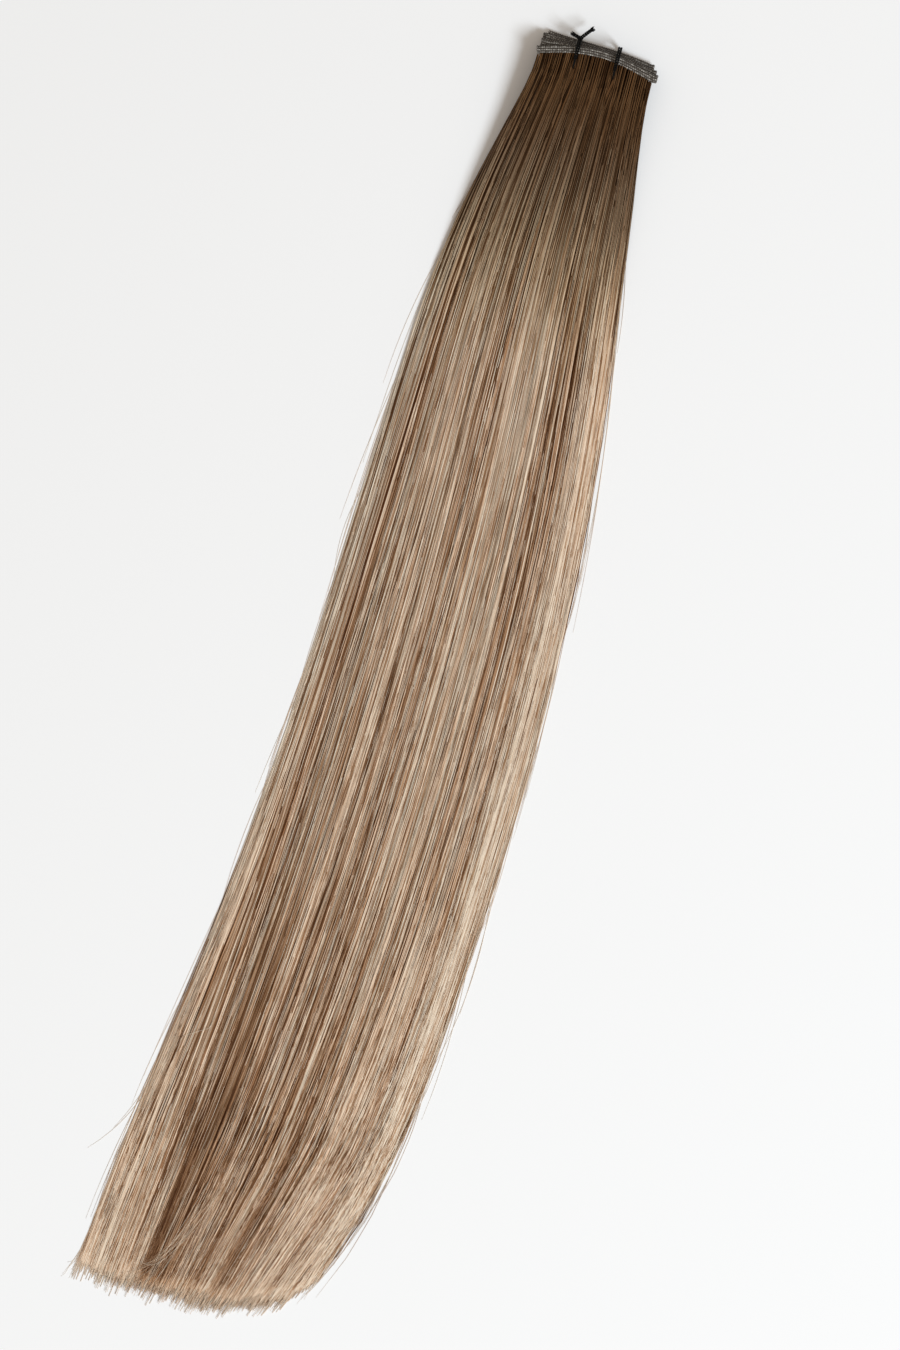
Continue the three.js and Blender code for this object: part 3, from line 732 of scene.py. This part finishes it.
def strand_map(mesh, strands, points, columns):
    """Gives each strand its own narrow column of the bake's map, a few rows of columns high."""
    loops = np.empty(len(mesh.loops), dtype=np.int64)
    mesh.loops.foreach_get("vertex_index", loops)
    sizes = np.empty(len(mesh.polygons), dtype=np.int64)
    mesh.polygons.foreach_get("loop_total", sizes)
    owner, local = np.divmod(loops, points * 3)
    turn, side = np.divmod(local, 3)
    side = side.astype(float)
    # A face between the last side and the first one ends at the column's far edge.
    of_face = np.repeat(np.arange(len(sizes)), sizes)
    last_side = np.zeros(len(sizes))
    np.maximum.at(last_side, of_face, side)
    cap = sizes[of_face] == 3
    side[(last_side[of_face] == 2) & ~cap & (side == 0)] = 3
    rows = -(-strands // columns)
    line, column = np.divmod(owner, columns)
    height = 0.03 + 0.94 * turn / (points - 1)
    height += np.where(cap & (side == 1), np.where(turn == 0, -0.02, 0.02), 0)
    u = (column + 0.1 + 0.8 * side / 3) / columns
    v = (line + height) / rows
    layer = mesh.uv_layers.new(name="OFBake")
    layer.data.foreach_set("uv", np.stack([u, v], axis=1).astype(np.float32).ravel())


tie_underside = 0.001
tie_holes = []
for name in ("tie_left", "tie_right"):
    corners = node_points(name)
    tie_holes.append((corners[corners[:, 2] < tie_underside, 0].mean(), corners[:, 1].min() + 0.0005, 0.0))

combed = {
    "Points": points_per_strand, "Width": 0.00044, "Tufts": 52.0, "Wisps": 200.0, "Wisp Gather": 0.55,
    "Locks": 36.0, "Lock Gather": 0.13, "Wave": 0.03, "Stray": 0.05, "Uneven Ends": 0.018,
    "Margin": sheet_margin, "Lift": 0.0, "Parting": 0.0011, "Left Tie": tie_holes[0],
    "Right Tie": tie_holes[1], "Hair": hair_finish}
map_columns = 430
sheets = {}
for seed, (name, strands) in enumerate(curtains, start=1):
    across, along, middle, half = sheets[name] = curtain_sheet(name)
    sheet = bpy.data.meshes.new(name + "_sheet")
    faces = grid_faces(sheet_rows, sheet_columns)
    sheet.from_pydata(middle.reshape(-1, 3).tolist(), [], faces.tolist())
    on_map = (across + sheet_margin) / (1 + 2 * sheet_margin)
    flow = np.stack([np.tile(on_map, sheet_rows), np.repeat(along, sheet_columns)], axis=1)
    layer = sheet.uv_layers.new(name="flow")
    layer.data.foreach_set("uv", flow[faces.ravel()].astype(np.float32).ravel())
    thickness = sheet.attributes.new("half", "FLOAT", "POINT")
    thickness.data.foreach_set("value", half.astype(np.float32).ravel())
    piece = grow(name.replace("hair_layer", "curtain"), sheet, strand_tree,
                 combed | {"Strands": strands, "Seed": seed})
    strand_map(piece.data, strands, points_per_strand, map_columns)
    settle(piece, [name])


# The finest hairs lie loose on the uppermost curtain. They are the same hair, sewn in with the rest, but the
# brush has left them free of the locks, so they cross the others at small angles.
loose_hairs = 1100
brushed_free = {"Strands": loose_hairs, "Width": 0.0003, "Wisp Gather": 0.3, "Lock Gather": 0.1,
                "Stray": 0.07, "Lift": 0.5, "Seed": len(curtains) + 1}
top_sheet = bpy.data.meshes["hair_layer_6_sheet"]
piece = grow("loose_surface_hairs", top_sheet, strand_tree, combed | brushed_free)
strand_map(piece.data, loose_hairs, points_per_strand, map_columns)
settle(piece)


# Single hairs have worked loose along both sides and at the cut ends, as they do on any brushed weft. Each
# leaves its neighbours in a slow bow and comes down to the table, and a few lie across the tips.
stray_radius = 0.0001
stray_points = 14
stray_room = 0.012
spread_across, spread_along = 0.012, 0.006
# Each wisp: how many hairs, and three places on them as share across, share along and reach past the edge.
# Those on the left come first, then two that cross the tips, three on the right and one near the band.
wisps = [(1, [(0.01, 0.81, 0.0), (0.0, 0.86, 0.0035), (0.0, 0.9, 0.017)]),
         (1, [(0.01, 0.79, 0.0), (0.0, 0.84, 0.002), (0.0, 0.88, 0.009)]),
         (9, [(0.01, 0.93, 0.0), (0.0, 0.965, 0.0015), (0.0, 0.995, 0.0085)]),
         (10, [(0.01, 0.86, 0.0), (0.0, 0.92, 0.0012), (0.0, 0.985, 0.0045)]),
         (8, [(0.01, 0.78, 0.0), (0.0, 0.85, 0.0008), (0.0, 0.93, 0.003)]),
         (22, [(0.012, 0.62, -0.0005), (0.004, 0.75, 0.0006), (0.0, 0.88, 0.002)]),
         (26, [(0.012, 0.71, -0.0005), (0.004, 0.83, 0.0008), (0.0, 0.95, 0.003)]),
         (30, [(0.012, 0.8, -0.0005), (0.004, 0.9, 0.001), (0.0, 0.995, 0.004)]),
         (14, [(0.36, 0.9, 0.0), (0.27, 0.955, 0.0), (0.12, 0.985, 0.0)]),
         (6, [(0.3, 0.91, 0.0), (0.27, 0.955, 0.0), (0.22, 0.99, 0.0)]),
         (2, [(0.99, 0.8, 0.0), (1.0, 0.87, 0.0004), (1.0, 0.93, 0.004)]),
         (2, [(0.99, 0.86, 0.0), (1.0, 0.92, 0.0002), (1.0, 0.97, 0.0035)]),
         (3, [(0.98, 0.92, 0.0), (1.0, 0.96, 0.0), (1.0, 1.0, 0.004)]),
         (5, [(0.01, 0.1, 0.0), (0.0, 0.12, 0.001), (0.0, 0.135, 0.0025)])]
# More single hairs leave both sides at random places, most of them close to the edge.
single_hairs = 130
right_side_share = 0.4
draw = np.random.default_rng(24)
for hair in range(single_hairs):
    side = float(draw.random() < right_side_share)
    start = draw.uniform(0.12, 0.86)
    length = draw.uniform(0.08, 0.26)
    bow = 0.0002 + 0.0045 * draw.random() ** 2.5
    wisps.append((1, [(side, start, -0.0008), (side, start + length / 2, bow),
                      (side, min(start + length, 1.0), bow * draw.uniform(-0.2, 1.8))]))


def on_curtain(name, share_across, share_along):
    """A place on the upper face of a curtain."""
    across, along, middle, half = sheets[name]
    upper = middle.copy()
    upper[:, :, 2] += half
    place = []
    for axis in range(3):
        row = [np.interp(share_along, along, upper[:, column, axis]) for column in range(sheet_columns)]
        place.append(np.interp(share_across, across, row))
    return np.array(place)


stray_parts, stray_about = [], []
for hairs, places in wisps:
    for hair in range(hairs):
        loose = np.array(places)
        if hairs > 1:
            loose[:, 0] += draw.normal(0, spread_across) + draw.normal(0, spread_across, 3)
            loose[:, 1] += draw.normal(0, spread_along, 3)
            loose[:, 2] *= draw.uniform(0.3, 1.0)
        steps = np.linspace(0, 1, stray_points)
        at = [np.polyval(np.polyfit([0, 0.5, 1], loose[:, axis], 2), steps) for axis in range(3)]
        at[0], at[1] = np.clip(at[0], 0, 1), np.clip(at[1], 0, 1)
        # A hair lies on the top curtain, or beside the edge of one half-way up.
        layers = ["hair_layer_6" if 0.05 < share < 0.95 else "hair_layer_3" for share in at[0]]
        route = np.array([on_curtain(*spot) for spot in zip(layers, at[0], at[1])])
        outward = np.where(at[0] < 0.5, -1, 1)
        x = route[:, 0] + outward * at[2]
        route[:, 0] = np.clip(x, cad_box[0].x - stray_room, cad_box[1].x + stray_room)
        route[:, 2] = np.maximum(route[:, 2] + 0.0003 - np.maximum(at[2], 0) * 2, 0.0002)
        stray_parts.append(tube(route, stray_radius * (1 - 0.6 * steps ** 3), 3))
        streak, light = draw.random(), draw.uniform(0.75, 1.2)
        about = [np.full(stray_points, streak), at[1], np.full(stray_points, light)]
        stray_about.append(np.repeat(np.stack(about, axis=1), 3, axis=0))
strays = new_piece("stray_hairs", *joined(stray_parts), hair_finish, "hair")
keep_vectors(strays.data, "strand", np.concatenate(stray_about))
strand_map(strays.data, len(stray_parts), stray_points, len(stray_parts))


# Two ties keep the folded band together: doubled black sewing thread, passed through the hair just under the
# band and round it. The one on the left is knotted on top, with two cut ends; the other's knot doesn't show.
strand_apart = 0.00052
ply_apart, ply_radius = 0.00024, 0.0003
twist_pitch, points_per_twist = 0.0024, 9
loop_points, loop_clearance = 120, 0.00007
tie_pinch_length = 0.009
# The CAD loop is thicker than this only where it has a knot.
knot_wall, knot_lift = 0.0016, 0.0005
knot_scale, knot_thread_radius = 0.0003, 0.00042
cut_end_reaches = (np.array([-3.2, 1.0, 0.5]) * 1e-3, np.array([4.2, 5.6, -1.6]) * 1e-3)
cut_end_bow = 0.0006
# Directions that a loop and a cut end never take, to start the twist from.
loop_side, cut_end_side = (1, 0, 0), (0.31, 0.17, 0.94)
fray_length, fray_bend = 0.0014, 0.7
fibres_per_strand, fibre_radius, fibre_room = 22, 0.00017, 0.00035

thread_black, tree, shader = new_material("black_thread", Roughness=0.6, Specular_IOR_Level=0.12)
place = add_node(tree, "ShaderNodeTexCoord").outputs["Object"]
lint = noise(tree, place, 2600.0, 3.0)
black = ramp(tree, lint, [(0.35, rgb(2, 2, 2)), (0.6, rgb(9, 9, 10)), (0.8, rgb(26, 26, 27))])
tree.links.new(black, shader.inputs["Base Color"])
fuzz = add_node(tree, "ShaderNodeBump", {"Height": lint, "Strength": 0.6, "Distance": 0.0001})
tree.links.new(fuzz.outputs[0], shader.inputs["Normal"])


def loop_route(name):
    """The middle line of a CAD tie's loop, and where its knot is, if it has one."""
    corners, solid = solid_of(name)
    under = corners[corners[:, 2] < tie_underside]
    eye_y = (under[:, 1].min() + under[:, 1].max()) / 2
    eye = np.array([under[:, 0].mean(), eye_y, corners[:, 2].max() / 2])
    route, walls = [], []
    for turn in np.linspace(0, 2 * np.pi, loop_points, endpoint=False):
        ray = Vector((0, math.cos(turn), math.sin(turn)))
        inner, normal = solid.ray_cast(Vector(eye), ray)[:2]
        outer = solid.ray_cast(Vector(eye) + ray * 0.03, -ray)[0]
        route.append(np.array(inner - normal * (strand_apart + loop_clearance)))
        walls.append((outer - inner).length)
    route = np.array(route)
    for smoothing in range(3):
        route = (np.roll(route, 1, axis=0) + 2 * route + np.roll(route, -1, axis=0)) / 4
    route[:, 2] = np.maximum(route[:, 2], ply_apart + ply_radius)
    widest = int(np.argmax(walls))
    if walls[widest] < knot_wall:
        return route, None
    return route, route[widest] + unit(route[widest] - eye) * knot_lift


def plies(route, turns, closed, thickness=1.0):
    """Two plies twisted round each other along a route, thinner where the thickness is below one."""
    count = len(route)
    heading = headings(route, closed)
    first = unit(np.cross(heading, loop_side if closed else cut_end_side))
    second = np.cross(heading, first)
    angle = 2 * np.pi * turns * np.arange(count) / (count if closed else count - 1)
    thickness = np.broadcast_to(thickness, count)
    out = np.cos(angle)[:, None] * first + np.sin(angle)[:, None] * second
    out *= ply_apart * thickness[:, None]
    return [tube(route + side * out, ply_radius * thickness, 6, closed) for side in (1, -1)]


def route_length(route):
    """How long a polyline is."""
    return np.linalg.norm(np.diff(route, axis=0), axis=1).sum()


def knot_turns(middle):
    """The knot: a thread wound over and under itself in three turns."""
    turn = np.linspace(0, 2 * np.pi, 60, endpoint=False)
    trefoil = np.stack([np.sin(turn) + 2 * np.sin(2 * turn), np.cos(turn) - 2 * np.cos(2 * turn),
                        -1.4 * np.sin(3 * turn)], axis=1)
    return tube(middle + trefoil * knot_scale, knot_thread_radius, 6, True)


def frayed_fibre(end, heading):
    """One fibre that has come free at a cut end and bends away from the thread."""
    bent = heading + draw.uniform(-fray_bend, fray_bend, 3)
    start = end + draw.uniform(-fibre_room, fibre_room, 3)
    share = np.linspace(0, 1, 6)[:, None]
    route = start + (heading * 0.25 * share + bent * 0.75 * share ** 1.5) * fray_length
    route[:, 2] = np.maximum(route[:, 2], 0.0003)
    return tube(route, fibre_radius * (1 - 0.5 * share[:, 0]), 4)


def cut_end(knot, reach):
    """The two strands of a cut end that leaves the knot, with their frayed fibres."""
    share = np.linspace(0, 1, 24)[:, None]
    bow = np.array([0, 0, cut_end_bow]) * np.sin(np.pi * share)
    sideways = unit(np.cross(reach, [0, 0, 1]))
    parts = []
    for side in (-1, 1):
        route = knot + reach * share + bow + sideways * side * strand_apart * 0.75
        parts += plies(route, route_length(route) / twist_pitch, False)
        parts += [frayed_fibre(route[-3], unit(reach)) for fibre in range(fibres_per_strand)]
    return parts


for name in ("tie_left", "tie_right"):
    route, knot = loop_route(name)
    closed_route = np.vstack([route, route[:1]])
    turns = round(route_length(closed_route) / twist_pitch)
    fine_route = spaced(closed_route, route_length(closed_route) / (turns * points_per_twist))[:-1]
    # Where the loop goes down into the hair, its two strands close up and are pressed thinner.
    clear_of_hair = np.clip((fine_route[:, 1] - fine_route[:, 1].min()) / tie_pinch_length, 0, 1)
    parts = []
    for side in (-1, 1):
        apart = np.zeros((len(fine_route), 3))
        apart[:, 0] = side * strand_apart * (0.15 + 0.85 * clear_of_hair)
        parts += plies(fine_route + apart, turns, True, 0.45 + 0.55 * clear_of_hair)
    if knot is not None:
        parts.append(knot_turns(knot))
        for reach in cut_end_reaches:
            parts += cut_end(knot, reach)
    new_piece(name + "_thread", *joined(parts), thread_black, "thread", [name])


# The weft lies on a plain pale table, in soft light that comes mostly from the right of the picture.
# The camera looks straight down at it, turned so that the hair runs down and to the left.
picture_turn = math.radians(14.7)
picture_middle = Vector((0.0251, 0.0027, 0.006))
camera_height = 1.8
picture_height = 0.6306
table_half_width = 4
# How far the window's middle is to the picture's right, below it and above the table.
window_right, window_below, window_height = 3.4, 3.1, 4.4

floor = new_object("table_top", bpy.data.meshes.new("table_top"))
corners = [(-1, -1), (1, -1), (1, 1), (-1, 1)]
corners = [(x * table_half_width, y * table_half_width, 0) for x, y in corners]
floor.data.from_pydata(corners, [], [(0, 1, 2, 3)])
table_finish = new_material("pale_table", Base_Color=(0.905, 0.914, 0.948, 1.0), Roughness=0.7,
                            Specular_IOR_Level=0.2)[0]
floor.data.materials.append(table_finish)

world = bpy.data.worlds.new("studio")
world.use_nodes = True
world.node_tree.nodes["Background"].inputs["Color"].default_value = (1.0, 0.885, 0.75, 1.0)
world.node_tree.nodes["Background"].inputs["Strength"].default_value = 0.47
bpy.context.scene.world = world

to_right = Vector((math.cos(picture_turn), math.sin(picture_turn), 0))
to_top = Vector((-math.sin(picture_turn), math.cos(picture_turn), 0))
key = bpy.data.lights.new("window", "AREA")
key.shape = "RECTANGLE"
key.size, key.size_y = 2.1, 2.6
key.color = (0.885, 0.96, 1.0)
key.energy = 364
key_lamp = new_object("window", key)
key_lamp.location = picture_middle + to_right * window_right - to_top * window_below
key_lamp.location.z += window_height
key_lamp.rotation_euler = (picture_middle - key_lamp.location).to_track_quat("-Z", "Y").to_euler()

lens = bpy.data.cameras.new("camera")
lens.sensor_fit = "VERTICAL"
lens.sensor_height = 36
lens.lens = 36 * camera_height / picture_height
lens.clip_end = 20
camera = new_object("camera", lens)
camera.location = picture_middle + Vector((0, 0, camera_height))
camera.rotation_euler = (0, 0, picture_turn)
bpy.context.scene.camera = camera
bpy.context.scene.view_settings.view_transform = "Standard"
